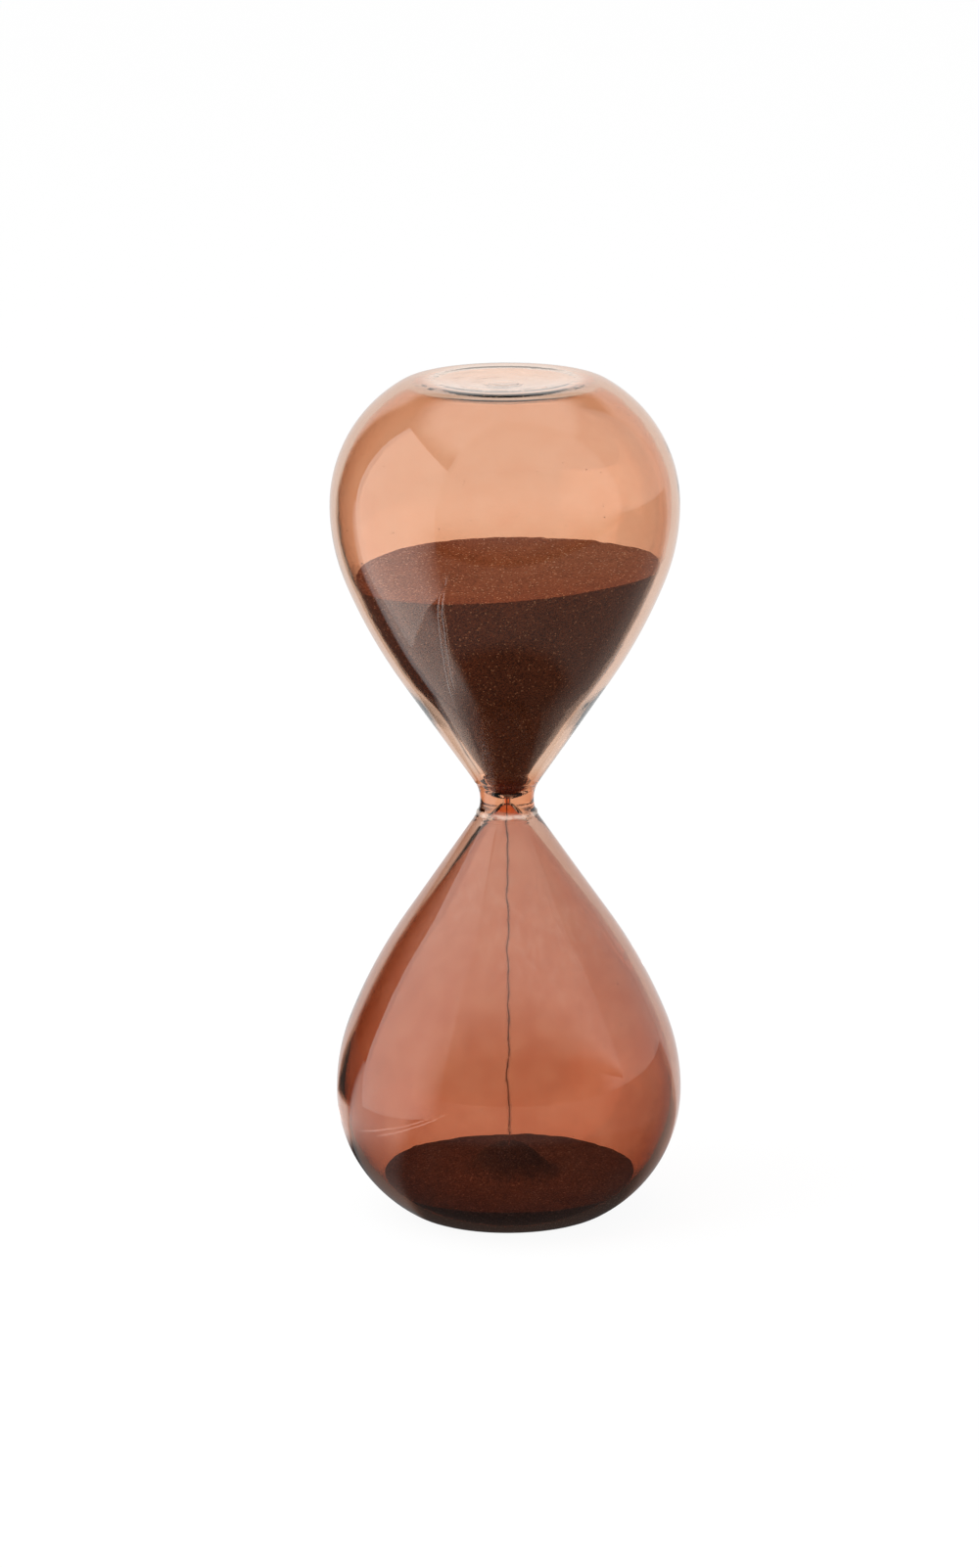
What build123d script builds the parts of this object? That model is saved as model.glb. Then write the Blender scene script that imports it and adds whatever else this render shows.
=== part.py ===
from build123d import *
import math
import os

# Sand timer blown from tinted glass, with no frame: two drop-shaped bulbs that meet at a thick
# waist, and dry sand sealed inside. The timer has just been turned over, so most of the sand is
# in the upper bulb, a thin stream falls through the waist, and a mound grows below.
# Millimetres. The timer stands upright on +Z, its axis is the Z axis, and the origin is at the
# centre of the ring that it stands on. Outlines are drawn as (radius, distance from the waist),
# because the two bulbs are the same shape, one upright and one upside down.

# Outside of a bulb
HEIGHT = 205.0  # from end ring to end ring
BELLY_RADIUS = 41.8  # the widest place
BELLY_HEIGHT = 72.0  # of the widest place, from the waist
BELLY_CURVE = 48.5  # outline radius between the widest place and the flank
BELLY_TURN = 22.1  # degrees that the belly curve turns through
FLANK_CURVE = 128.0  # outline radius of the flatter stretch towards the waist
CONE_ANGLE = 34.7  # between the straight stretch at the waist and the axis
WAIST_RADIUS = 6.5
SHOULDER_CURVE = 33.9  # outline radius between the widest place and the end
CORNER_CURVE = 10.0  # rounding between shoulder and end

# End of a bulb: a flat ring round a shallow hollow
RING_INNER_RADIUS = 17.0
HOLLOW_DEPTH = 1.2

# Inside of a bulb: an even wall, 2.2 thick, that thickens only towards the waist
CAVITY_RADIUS = 39.6
CAVITY_BELLY_CURVE = 46.3
CAVITY_BELLY_TURN = 22.1
CAVITY_FLANK_CURVE = 125.8
CAVITY_CONE_ANGLE = 37.0
CAVITY_SHOULDER_CURVE = 31.7
CAVITY_CORNER_CURVE = 7.8
END_THICKNESS = 2.2
ORIFICE_RADIUS = 0.6

# Rounded bottom of a cavity: curve, height of its centre from the waist, and the angle between
# the wall at its edge and the axis
UPPER_BOWL = (4.6, 5.4, 17.3)
LOWER_BOWL = (1.5, 1.9, 33.0)

# Fused neck between the bulbs
JOINT_HEIGHT = 4.5  # half its length

# Bead that closes the filling hole in the top end
SEAL_RADIUS = 4.0
SEAL_RISE = 0.3  # proud of the hollow, but still below the ring
SEAL_DRIP = 0.5  # past the inside of the end

# Sand
SAND_GAP = 0.12  # between sand and glass
SAND_FOOT_RADIUS = 0.5  # of the sand that stands over the orifice
UPPER_SAND_LEVEL = 56.5  # at the axis, above the waist
UPPER_SAND_TILT = 2.5  # degrees, rising towards +X
LOWER_SAND_LEVEL = 93.5  # below the waist
MOUND_RADIUS = 13.0
MOUND_HEIGHT = 8.0
MOUND_FOOT_CURVE = 6.0
STREAM_RADIUS = 0.4

WAIST_Z = HEIGHT / 2
END_INSIDE = HEIGHT / 2 - END_THICKNESS
HOLLOW_CURVE = (RING_INNER_RADIUS**2 + HOLLOW_DEPTH**2) / (2 * HOLLOW_DEPTH)


def side_line(belly_radius, belly_curve, belly_turn, flank_curve, cone_angle, end, end_angle):
    """Tangent lines from the widest place down to end, where the wall is end_angle off the axis."""
    belly = JernArc((belly_radius, BELLY_HEIGHT), (0, -1), belly_curve, -belly_turn)
    flank = JernArc(belly @ 1, belly % 1, flank_curve, belly_turn - cone_angle)
    cone = math.radians(cone_angle)
    last = math.radians(end_angle)
    foot = flank @ 1
    off_cone = (end[0] - foot.X) * math.cos(cone) - (end[1] - foot.Y) * math.sin(cone)
    neck_curve = off_cone / (1 - math.cos(cone - last))
    neck_r = end[0] + neck_curve * (math.cos(last) - math.cos(cone))
    neck_h = end[1] - neck_curve * (math.sin(last) - math.sin(cone))
    straight = Line(foot, (neck_r, neck_h))
    neck = JernArc(straight @ 1, straight % 1, neck_curve, cone_angle - end_angle)
    return [belly, flank, straight, neck]


def shoulder_line(belly_radius, shoulder_curve, corner_curve, end_height):
    """Tangent arcs from the widest place up to end_height, where they run level."""
    rise = end_height - corner_curve - BELLY_HEIGHT
    turn = math.degrees(math.asin(rise / (shoulder_curve - corner_curve)))
    shoulder = JernArc((belly_radius, BELLY_HEIGHT), (0, 1), shoulder_curve, turn)
    corner = JernArc(shoulder @ 1, shoulder % 1, corner_curve, 90 - turn)
    return [shoulder, corner]


def revolved(lines):
    """Solid of revolution about the axis from lines that close an outline."""
    return revolve(Plane.XZ * make_face(lines), axis=Axis.Z)


def hollow_height(radius):
    """Height above the waist of the hollow in the end, at a radius."""
    return HEIGHT / 2 - HOLLOW_DEPTH + HOLLOW_CURVE - math.sqrt(HOLLOW_CURVE**2 - radius**2)


def end_curve(depth):
    """The hollow in the end, or a line that lies depth below it."""
    points = []
    for radius in (RING_INNER_RADIUS, RING_INNER_RADIUS / 2, 0):
        points.append((radius, hollow_height(radius) - depth))
    return ThreePointArc(*points)


def bulb_outside():
    """Everything within the outer surface of a bulb, from the waist up."""
    side = side_line(
        BELLY_RADIUS, BELLY_CURVE, BELLY_TURN, FLANK_CURVE, CONE_ANGLE, (WAIST_RADIUS, 0), 0
    )
    shoulder = shoulder_line(BELLY_RADIUS, SHOULDER_CURVE, CORNER_CURVE, HEIGHT / 2)
    hollow = end_curve(0)
    ring = Line(shoulder[-1] @ 1, hollow @ 0)
    axis = Line(hollow @ 1, (0, 0))
    floor = Line((0, 0), (WAIST_RADIUS, 0))
    return revolved(side + shoulder + [ring, hollow, axis, floor])


def bulb_cavity(bowl, gap=0.0, foot_radius=ORIFICE_RADIUS):
    """The space inside a bulb, or what fills it to within gap of the glass."""
    bowl_curve, bowl_height, edge_angle = bowl
    bowl_curve -= gap
    bowl_edge = math.radians(edge_angle)
    bowl_foot = math.acos(foot_radius / bowl_curve)
    bowl_points = []
    for angle in (bowl_edge, (bowl_edge + bowl_foot) / 2, bowl_foot):
        bowl_points.append((bowl_curve * math.cos(angle), bowl_height - bowl_curve * math.sin(angle)))
    side = side_line(
        CAVITY_RADIUS - gap,
        CAVITY_BELLY_CURVE - gap,
        CAVITY_BELLY_TURN,
        CAVITY_FLANK_CURVE - gap,
        CAVITY_CONE_ANGLE,
        bowl_points[0],
        edge_angle,
    )
    shoulder = shoulder_line(
        CAVITY_RADIUS - gap, CAVITY_SHOULDER_CURVE - gap, CAVITY_CORNER_CURVE - gap, END_INSIDE - gap
    )
    bottom = ThreePointArc(*bowl_points)
    ceiling = end_curve(END_THICKNESS + gap)
    ring = Line(shoulder[-1] @ 1, ceiling @ 0)
    axis = Line(ceiling @ 1, (0, bowl_points[2][1]))
    foot = Line(axis @ 1, bowl_points[2])
    return revolved(side + shoulder + [bottom, ring, ceiling, axis, foot])


def above(height, part):
    return split(part, bisect_by=Plane.XY.offset(height), keep=Keep.TOP)


def below(height, part):
    return split(part, bisect_by=Plane.XY.offset(height), keep=Keep.BOTTOM)


def upright(part):
    """Moves a shape drawn from the waist up into the upper bulb."""
    return Pos(0, 0, WAIST_Z) * part


def upside_down(part):
    """Turns a shape drawn from the waist up over into the lower bulb."""
    return Pos(0, 0, WAIST_Z) * mirror(part, about=Plane.XY)


def bulb_glass(bowl):
    orifice = Cylinder(ORIFICE_RADIUS, 2 * JOINT_HEIGHT)
    return bulb_outside() - bulb_cavity(bowl) - orifice


def upper_bulb():
    """Bulb with the filling hole through its end."""
    filling_hole = Pos(0, 0, HEIGHT / 2) * Cylinder(SEAL_RADIUS, 4 * END_THICKNESS)
    return upright(above(JOINT_HEIGHT, bulb_glass(UPPER_BOWL)) - filling_hole)


def lower_bulb():
    return upside_down(above(JOINT_HEIGHT, bulb_glass(LOWER_BOWL)))


def waist_joint():
    """Thick fused neck, with the orifice that meters the sand."""
    upper_half = upright(below(JOINT_HEIGHT, bulb_glass(UPPER_BOWL)))
    lower_half = upside_down(below(JOINT_HEIGHT, bulb_glass(LOWER_BOWL)))
    return upper_half + lower_half


def filling_seal():
    """Plug of melted glass, domed on both sides."""
    edge_top = hollow_height(SEAL_RADIUS)
    edge_bottom = edge_top - END_THICKNESS
    top = hollow_height(0) + SEAL_RISE
    bottom = hollow_height(0) - END_THICKNESS - SEAL_DRIP
    dome = ThreePointArc((SEAL_RADIUS, edge_top), (0, top), (-SEAL_RADIUS, edge_top))
    drip = ThreePointArc((SEAL_RADIUS, edge_bottom), (0, bottom), (-SEAL_RADIUS, edge_bottom))
    right = Line(dome @ 0, drip @ 0)
    left = Line(dome @ 1, drip @ 1)
    section = split(make_face([dome, drip, right, left]), bisect_by=Plane.YZ, keep=Keep.TOP)
    return upright(revolve(Plane.XZ * section, axis=Axis.Z))


def sand_body(bowl):
    return bulb_cavity(bowl, SAND_GAP, SAND_FOOT_RADIUS)


def upper_sand():
    """Sand that waits above the orifice, with a surface that tilts a little."""
    level = Plane.XY.offset(UPPER_SAND_LEVEL).rotated((0, -UPPER_SAND_TILT, 0))
    return upright(split(sand_body(UPPER_BOWL), bisect_by=level, keep=Keep.BOTTOM))


def mound():
    """Fallen sand on the plane at height zero: a cone with a soft foot."""
    slope = math.atan2(MOUND_HEIGHT, MOUND_RADIUS - STREAM_RADIUS)
    reach = MOUND_FOOT_CURVE * math.tan(slope / 2)
    foot_start = (MOUND_RADIUS - reach * math.cos(slope), reach * math.sin(slope))
    tip = Line((0, MOUND_HEIGHT), (STREAM_RADIUS, MOUND_HEIGHT))
    side = Line(tip @ 1, foot_start)
    foot = JernArc(foot_start, side % 1, MOUND_FOOT_CURVE, math.degrees(slope))
    ground = Line(foot @ 1, (0, 0))
    axis = Line((0, 0), (0, MOUND_HEIGHT))
    return revolved([tip, side, foot, ground, axis])


def lower_sand():
    """Sand that lies in the end of the lower bulb, under a mound."""
    pool = upside_down(above(LOWER_SAND_LEVEL, sand_body(LOWER_BOWL)))
    return pool + Pos(0, 0, WAIST_Z - LOWER_SAND_LEVEL) * mound()


def sand_stream():
    """Falling sand, from the upper sand's foot to the tip of the mound."""
    top = WAIST_Z + sand_body(UPPER_BOWL).bounding_box().min.Z
    bottom = WAIST_Z - LOWER_SAND_LEVEL + MOUND_HEIGHT
    return Pos(0, 0, (top + bottom) / 2) * Cylinder(STREAM_RADIUS, top - bottom)


PARTS = [upper_bulb, lower_bulb, waist_joint, filling_seal, upper_sand, lower_sand, sand_stream]

os.makedirs("parts", exist_ok=True)
for make in PARTS:
    export_step(make(), f"parts/{make.__name__}.step")
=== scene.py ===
"""Looks of the hourglass: tinted blown glass, dark brown sand, and the studio round them.

The glass outlines are tangent arcs, the same ones that the CAD solids are turned from. They are
drawn as (radius, distance from the waist), because the two bulbs are the same shape, one upright
and one upside down. Metres.
"""

import math

import bmesh
import bpy
import numpy as np
from mathutils import Matrix, Vector, noise


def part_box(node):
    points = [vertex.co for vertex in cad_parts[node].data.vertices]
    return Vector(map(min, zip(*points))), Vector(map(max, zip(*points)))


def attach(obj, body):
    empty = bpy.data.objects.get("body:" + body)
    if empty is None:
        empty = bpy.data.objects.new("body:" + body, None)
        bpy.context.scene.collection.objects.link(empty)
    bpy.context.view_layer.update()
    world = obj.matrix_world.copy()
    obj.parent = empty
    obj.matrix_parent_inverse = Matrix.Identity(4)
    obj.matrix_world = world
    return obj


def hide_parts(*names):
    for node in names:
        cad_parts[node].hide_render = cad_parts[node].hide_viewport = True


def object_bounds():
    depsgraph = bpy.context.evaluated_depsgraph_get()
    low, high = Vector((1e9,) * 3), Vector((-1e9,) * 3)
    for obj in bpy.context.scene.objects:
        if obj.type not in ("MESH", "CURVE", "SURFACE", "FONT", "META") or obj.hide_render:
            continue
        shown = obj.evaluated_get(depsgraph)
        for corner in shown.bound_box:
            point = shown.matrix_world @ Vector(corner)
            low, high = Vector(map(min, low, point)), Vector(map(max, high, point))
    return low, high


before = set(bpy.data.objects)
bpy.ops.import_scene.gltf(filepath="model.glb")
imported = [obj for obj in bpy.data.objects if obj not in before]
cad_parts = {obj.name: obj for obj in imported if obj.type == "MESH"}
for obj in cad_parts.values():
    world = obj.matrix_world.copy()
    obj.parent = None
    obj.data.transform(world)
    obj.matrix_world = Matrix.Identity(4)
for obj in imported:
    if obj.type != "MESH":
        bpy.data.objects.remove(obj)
cad_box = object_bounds()

MM = 0.001
HEIGHT = cad_box[1].z - cad_box[0].z
WAIST_Z = cad_box[0].z + HEIGHT / 2
END = HEIGHT / 2  # distance of an end ring from the waist
END_ZONE = 0.9 * END  # glass farther from the waist than this can belong to an end

# Outside of a bulb
BELLY_RADIUS = (cad_box[1].x - cad_box[0].x) / 2
BELLY_HEIGHT = 72 * MM
BELLY_CURVE = 48.5 * MM
BELLY_TURN = math.radians(22.1)
FLANK_CURVE = 128 * MM
CONE_ANGLE = math.radians(34.7)
WAIST_RADIUS = 6.5 * MM
SHOULDER_CURVE = 33.9 * MM
CORNER_CURVE = 10 * MM
RING_INNER_RADIUS = 17 * MM
HOLLOW_DEPTH = 1.2 * MM

# Inside of a bulb
CAVITY_RADIUS = 39.6 * MM
CAVITY_BELLY_CURVE = 46.3 * MM
CAVITY_BELLY_TURN = math.radians(22.1)
CAVITY_FLANK_CURVE = 125.8 * MM
CAVITY_CONE_ANGLE = math.radians(37)
CAVITY_SHOULDER_CURVE = 31.7 * MM
CAVITY_CORNER_CURVE = 7.8 * MM
END_THICKNESS = 2.2 * MM
END_INSIDE = END - END_THICKNESS
# Rounded bottoms of the cavities: curve, height of its centre from the waist, angle at its edge
UPPER_BOWL = (4.6 * MM, 5.4 * MM, math.radians(17.3))
LOWER_BOWL = (1.5 * MM, 1.9 * MM, math.radians(33))
ORIFICE_RADIUS = 0.6 * MM

JOINT_HEIGHT = 4.5 * MM
SEAL_RADIUS = 4 * MM
SEAL_RISE = 0.3 * MM
SEAL_DRIP = 0.5 * MM

# Unevenness of blown glass
WAVE_DEPTH = 0.10 * MM
WAVE_LENGTH = 26 * MM
SWIRL_DEPTH = 0.028 * MM
SWIRL_WANDER = 3 * MM
SWIRL_PITCH = 6.5 * MM
SEAM_HEIGHT = -3.1 * MM
SEAM_RISE = 0.3 * MM
SEAM_WIDTH = 0.4 * MM
SEAM_WANDER, SEAM_WOBBLE = 0.35 * MM, 0.12 * MM
SEAM_FADE = 0.3 * MM  # half the height over which the two tints meet
BEADING_HEIGHT = -4.1 * MM
BEADING_WIDTH = 0.2 * MM

# Sand
SAND_GAP = 0.15 * MM
SAND_FOOT_RADIUS = 0.5 * MM
RUFFLES = ((13 * MM, 0.22 * MM), (2.6 * MM, 0.03 * MM), (0.5 * MM, 0.07 * MM))  # sizes and heights
UPPER_SAND_LEVEL = 56.4 * MM
UPPER_SAND_SLOPE = math.tan(math.radians(2.5))
UPPER_SAND_TWIST = 0.75 * MM  # how far the front right stands above the slope, and the front left below
UPPER_SAND_DIP, UPPER_DIP_RADIUS = 0.5 * MM, 9 * MM  # in the middle, where the sand runs out
LOWER_SAND_LEVEL = 93.5 * MM
MOUND_RADIUS = 13 * MM
MOUND_HEIGHT = 7.8 * MM
CRATER_DEPTH, CRATER_RADIUS = 1.2 * MM, 2.5 * MM  # where the stream lands
STREAM_RADIUS = 0.13 * MM
STREAM_WAVER = 0.75 * MM
STREAM_GRAINS = 3000
SPRAY_START = 5 * MM  # below the waist, where loose grains begin beside the stream
SPRAY_WIDTH, SPRAY_GROWTH = 0.22 * MM, 0.1 * MM
GRAIN_RADIUS = 0.11 * MM

SEGMENTS = 168
COARSE = 1.3 * MM
FINE = 0.45 * MM
WALL_OUTSIDE, WALL_INSIDE, WALL_FUSED = 0, 1, 2

random = np.random.default_rng(7)


# ---------------------------------------------------------------- outlines


def arc(start, heading, curve, turn, span):
    """Points after start on a tangent arc. Headings are angles from straight down towards the axis."""
    side = math.copysign(curve, turn)
    angles = np.linspace(heading, heading + turn, max(3, math.ceil(curve * abs(turn) / span)) + 1)[1:]
    radii = start[0] + side * (np.cos(angles) - math.cos(heading))
    heights = start[1] + side * (math.sin(heading) - np.sin(angles))
    return list(zip(radii, heights))


def run(start, end, span):
    """Points after start on a straight line to end."""
    steps = max(1, math.ceil(math.dist(start, end) / span))
    shares = np.arange(1, steps + 1) / steps
    return [(start[0] + (end[0] - start[0]) * s, start[1] + (end[1] - start[1]) * s) for s in shares]


def side_outline(belly, belly_curve, belly_turn, flank_curve, cone, end, end_angle):
    """From the widest place down to end, where the wall is end_angle off the axis."""
    points = [(belly, BELLY_HEIGHT)]
    points += arc(points[-1], 0, belly_curve, belly_turn, COARSE)
    points += arc(points[-1], belly_turn, flank_curve, cone - belly_turn, COARSE)
    foot_r, foot_h = points[-1]
    off_cone = (end[0] - foot_r) * math.cos(cone) - (end[1] - foot_h) * math.sin(cone)
    neck_curve = off_cone / (1 - math.cos(cone - end_angle))
    neck_r = end[0] + neck_curve * (math.cos(end_angle) - math.cos(cone))
    neck_h = end[1] - neck_curve * (math.sin(end_angle) - math.sin(cone))
    points += run(points[-1], (neck_r, neck_h), COARSE)
    points += arc(points[-1], cone, neck_curve, end_angle - cone, FINE)
    return points


def shoulder_outline(belly, shoulder_curve, corner_curve, end_height):
    """From the widest place up to end_height, where the wall runs level."""
    turn = math.asin((end_height - corner_curve - BELLY_HEIGHT) / (shoulder_curve - corner_curve))
    mirrored = arc((belly, 0), 0, shoulder_curve, turn, COARSE)
    mirrored += arc(mirrored[-1], turn, corner_curve, math.pi / 2 - turn, COARSE)
    return [(r, BELLY_HEIGHT - h) for r, h in mirrored]


def hollow_height(radius):
    """Height of the hollow in an end, at a radius."""
    curve = (RING_INNER_RADIUS**2 + HOLLOW_DEPTH**2) / (2 * HOLLOW_DEPTH)
    return END - HOLLOW_DEPTH + curve - math.sqrt(curve**2 - radius**2)


def hollow_outline(inner_radius):
    """From the ring's inner edge in along the hollow."""
    count = math.ceil((RING_INNER_RADIUS - inner_radius) / FINE)
    radii = np.linspace(RING_INNER_RADIUS, inner_radius, count)
    return [(r, hollow_height(r)) for r in radii]


def outside(inner_radius):
    """Outer surface of a bulb, from inner_radius in its hollow down to the middle of the waist."""
    shoulder = shoulder_outline(BELLY_RADIUS, SHOULDER_CURVE, CORNER_CURVE, END)
    waist = (WAIST_RADIUS, 0)
    side = side_outline(BELLY_RADIUS, BELLY_CURVE, BELLY_TURN, FLANK_CURVE, CONE_ANGLE, waist, 0)
    ring = run(shoulder[-1], (RING_INNER_RADIUS, END), COARSE)
    end = ring[:-1] + hollow_outline(inner_radius)
    return end[::-1] + shoulder[::-1] + side


def inside(inner_radius, bowl):
    """Cavity wall of a bulb, from inner_radius on its end down to the orifice's lip."""
    bowl_curve, bowl_height, edge_angle = bowl
    edge = (bowl_curve * math.cos(edge_angle), bowl_height - bowl_curve * math.sin(edge_angle))
    shoulder = shoulder_outline(CAVITY_RADIUS, CAVITY_SHOULDER_CURVE, CAVITY_CORNER_CURVE, END_INSIDE)
    side = side_outline(
        CAVITY_RADIUS,
        CAVITY_BELLY_CURVE,
        CAVITY_BELLY_TURN,
        CAVITY_FLANK_CURVE,
        CAVITY_CONE_ANGLE,
        edge,
        edge_angle,
    )
    foot_angle = math.acos(ORIFICE_RADIUS / bowl_curve)
    bottom = arc(edge, edge_angle, bowl_curve, foot_angle - edge_angle, FINE / 2)
    ring = run(shoulder[-1], (RING_INNER_RADIUS, END_INSIDE), COARSE)
    ceiling = ring[:-1] + [(r, h - END_THICKNESS) for r, h in hollow_outline(inner_radius)]
    return ceiling[::-1] + shoulder[::-1] + side + bottom


def between(points, low, high):
    """The stretch of an outline between two heights, with points added where it crosses them."""
    kept = []
    for before, after in zip(points, points[1:]):
        for limit in (high, low):
            if (before[1] - limit) * (after[1] - limit) < 0:
                share = (limit - before[1]) / (after[1] - before[1])
                kept.append((before[0] + (after[0] - before[0]) * share, limit))
        if low <= after[1] <= high:
            kept.append(after)
    return kept


# ---------------------------------------------------------------- meshes


def swirl(place):
    """Uneven rings in the end of a bulb, left by the hot glass as it closed."""
    radius = math.hypot(place.x, place.y)
    wander = noise.noise(place / (12 * MM)) * SWIRL_WANDER
    fade = min(1, max(0, (RING_INNER_RADIUS - radius) / (3 * MM)))
    dimple = noise.noise(place / (11 * MM) + Vector((3, 1, 7)))
    return SWIRL_DEPTH * fade * (math.sin(2 * math.pi * (radius + wander) / SWIRL_PITCH) + 1.5 * dimple)


def seam(place):
    """Ridge round the waist where the bulbs were welded, and a row of small beads below it."""
    height = place.z - WAIST_Z
    around = Vector((place.x, place.y, 0)).normalized()
    wander = noise.noise(around * 2.3) * SEAM_WANDER + noise.noise(around * 7) * SEAM_WOBBLE
    rise = 1 + 0.7 * noise.noise(around * 5 + Vector((0, 0, 4)))
    ridge = SEAM_RISE * rise * math.exp(-(((height - SEAM_HEIGHT - wander) / SEAM_WIDTH) ** 2))
    bead = max(0, noise.noise(around * 16 + Vector((0, 0, 9))))
    return ridge + 0.5 * SEAM_RISE * bead * math.exp(-(((height - BEADING_HEIGHT) / BEADING_WIDTH) ** 2))


def outside_relief(place):
    """How far the outer surface stands out from its outline."""
    distance = abs(place.z - WAIST_Z)
    radius = math.hypot(place.x, place.y)
    if distance > END - 2 * HOLLOW_DEPTH and radius < RING_INNER_RADIUS:
        return swirl(place)
    ring = min(1, (END - distance) / (6 * MM))
    wave = 0.5 + 0.5 * noise.noise(place / WAVE_LENGTH + Vector((5, 0, 0)))
    return -WAVE_DEPTH * ring * wave + seam(place)


def inside_relief(place):
    """How far the cavity wall stands back into the glass from its outline."""
    distance = abs(place.z - WAIST_Z)
    radius = math.hypot(place.x, place.y)
    if distance > END_INSIDE - 2 * HOLLOW_DEPTH and radius < RING_INNER_RADIUS:
        return 0.1 * MM + 0.5 * swirl(place + Vector((0, 0, 11 * MM)))
    wave = 0.5 + 0.5 * noise.noise(place / (0.7 * WAVE_LENGTH) + Vector((0, 8, 0)))
    return WAVE_DEPTH * min(1, radius / (5 * MM)) * wave


def add_object(name, verts, faces, tags, materials):
    """A smooth closed mesh with outward normals, sharp only at its real edges."""
    mesh = bpy.data.meshes.new(name)
    mesh.from_pydata(verts, [], faces)
    for material in materials:
        mesh.materials.append(material)
    mesh.polygons.foreach_set("material_index", tags)
    mesh.update()
    work = bmesh.new()
    work.from_mesh(mesh)
    bmesh.ops.recalc_face_normals(work, faces=work.faces)
    work.to_mesh(mesh)
    work.free()
    mesh.shade_smooth()
    mesh.set_sharp_from_angle(angle=math.radians(50))
    piece = bpy.data.objects.new(name, mesh)
    bpy.context.scene.collection.objects.link(piece)
    return piece


def ring_faces(rings, tags):
    """Faces between neighbouring rings of vertex numbers. A ring of one vertex is a pole."""
    faces, face_tags = [], []
    for lower, upper, tag in zip(rings, rings[1:], tags):
        count = max(len(lower), len(upper))
        for i in range(count):
            j = (i + 1) % count
            corners = [lower[i % len(lower)], lower[j % len(lower)]]
            corners += [upper[j % len(upper)], upper[i % len(upper)]]
            faces.append(list(dict.fromkeys(corners)))
            face_tags.append(tag)
    return faces, face_tags


def turned(name, outline, upside_down, materials):
    """Glass turned from an outline of (radius, distance from waist, surface of the span after it)."""
    loop = outline[0][0] > 0
    points = np.array([(r, h) for r, h, _ in outline])
    tags = [tag for _, _, tag in outline]
    ahead = np.roll(points, -1, 0) if loop else np.vstack([points[1:], points[-1:]])
    behind = np.roll(points, 1, 0) if loop else np.vstack([points[:1], points[:-1]])
    along = ahead - behind
    along /= np.linalg.norm(along, axis=1)[:, None]
    verts, rings = [], []
    for i, ((r, h), (dr, dh)) in enumerate(zip(points, along)):
        near = {tags[i], tags[i - 1]}
        count = SEGMENTS if r > 0 else 1
        rings.append(range(len(verts), len(verts) + count))
        for k in range(count):
            angle = 2 * math.pi * k / SEGMENTS
            place = Vector((r * math.cos(angle), r * math.sin(angle), WAIST_Z + (-h if upside_down else h)))
            outward = Vector((-dh * math.cos(angle), -dh * math.sin(angle), -dr if upside_down else dr))
            if near == {WALL_OUTSIDE}:
                place += outward * outside_relief(place)
            elif near == {WALL_INSIDE}:
                place -= outward * inside_relief(place)
            verts.append(place)
    if loop:
        rings.append(rings[0])
        tags = tags + [tags[-1]]
    faces, face_tags = ring_faces(rings, tags)
    return add_object(name, verts, faces, face_tags, materials)


def tagged(points, tag):
    return [(r, h, tag) for r, h in points]


def bulb_glass(name, upside_down, hole, materials):
    """Bulb down to the joint. Its outline goes down the outside, across the joint and up the cavity."""
    outer = between(outside(hole), JOINT_HEIGHT, HEIGHT)
    outer = [(hole, hollow_height(hole))] + outer[1:]
    bowl = LOWER_BOWL if upside_down else UPPER_BOWL
    inner = between(inside(hole, bowl), JOINT_HEIGHT, HEIGHT)[::-1]
    outline = tagged(outer, WALL_OUTSIDE)
    outline[-1] = (*outer[-1], WALL_FUSED)
    outline += tagged(inner, WALL_INSIDE)
    outline[-1] = (*inner[-1], WALL_FUSED)
    return turned(name, outline, upside_down, materials)


def waist_glass(materials):
    """Fused neck, with a bowl above the orifice and another below."""
    outer = between(outside(0), 0, JOINT_HEIGHT)
    upper = between(inside(0, UPPER_BOWL), 0, JOINT_HEIGHT)
    lower = between(inside(0, LOWER_BOWL), 0, JOINT_HEIGHT)
    bore = run(upper[-1], (ORIFICE_RADIUS, -lower[-1][1]), FINE)
    outer += [(r, -h) for r, h in outer[-2::-1]]
    inner = upper + bore[:-1] + [(r, -h) for r, h in lower[::-1]]
    outline = tagged(outer, WALL_OUTSIDE)
    outline[-1] = (*outer[-1], WALL_FUSED)
    outline += tagged(inner[::-1], WALL_INSIDE)
    outline[-1] = (*inner[0], WALL_FUSED)
    return turned("waist_glass", outline, False, materials)


def dome(radius, edge_height, middle_height):
    """Points from the axis out to the edge of a cap."""
    rise = middle_height - edge_height
    radii = np.linspace(0, radius, 14)
    return [(r, middle_height - rise * (r / radius) ** 2) for r in radii]


def seal_glass(materials):
    """Bead that closed the filling hole: a dome outside and a drip inside."""
    top = dome(SEAL_RADIUS, hollow_height(SEAL_RADIUS), hollow_height(0) + SEAL_RISE)
    ceiling = hollow_height(0) - END_THICKNESS
    drip = dome(SEAL_RADIUS, hollow_height(SEAL_RADIUS) - END_THICKNESS, ceiling - SEAL_DRIP)
    outline = tagged(top, WALL_OUTSIDE)
    outline[-1] = (*top[-1], WALL_FUSED)
    outline += tagged(drip[::-1], WALL_INSIDE)
    return turned("seal_glass", outline, False, materials)


# ---------------------------------------------------------------- sand


cavity_wall = inside(RING_INNER_RADIUS, UPPER_BOWL)[::-1]
cavity_wall = [(r, h) for r, h in cavity_wall if h < END_INSIDE - 0.01 * MM]
WALL_HEIGHTS = [h for _, h in cavity_wall]
WALL_RADII = [r for r, _ in cavity_wall]


def wall_radius(height):
    """Radius of the cavity at a distance from the waist, less the gap."""
    return float(np.interp(height, WALL_HEIGHTS, WALL_RADII)) - SAND_GAP


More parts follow.
